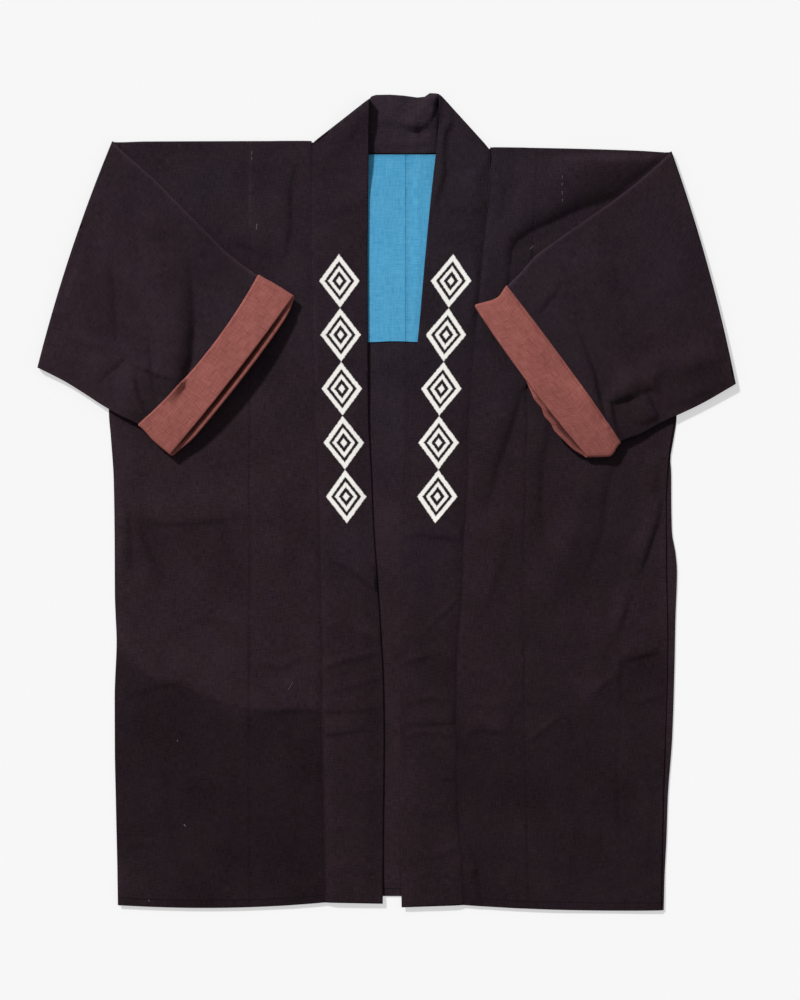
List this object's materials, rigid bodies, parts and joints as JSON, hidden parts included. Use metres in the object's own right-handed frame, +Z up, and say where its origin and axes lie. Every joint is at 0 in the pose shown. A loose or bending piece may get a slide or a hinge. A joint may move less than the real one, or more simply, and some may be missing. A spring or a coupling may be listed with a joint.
{
  "type": "happi coat",
  "caption": "Happi coat laid flat, front up: straight dark cotton body, collar band from hem round the neck to hem, wide sleeves folded in over the front, brown turned-back cuffs.",
  "frame": {"origin": "middle of the coat's box, on the surface it lies on", "axes": "+Z up out of the front of the coat, +Y from the hem to the neck, +X to the right as seen from above"},
  "size_m": [0.8014, 0.9402, 0.0218],
  "materials": {
    "dark_cotton": "matt plain weave, near black with a brown-purple cast",
    "blue_cotton": "matt plain weave, sky blue",
    "brown_cotton": "matt plain weave, red-brown"
  },
  "bodies": {
    "root": {"body_left": "dark_cotton", "body_right": "dark_cotton", "collar": "dark_cotton", "sleeve_left": "dark_cotton", "sleeve_right": "dark_cotton", "lining_left": "blue_cotton", "lining_right": "blue_cotton", "cuff_left": "brown_cotton", "cuff_right": "brown_cotton"}
  },
  "joints": []
}
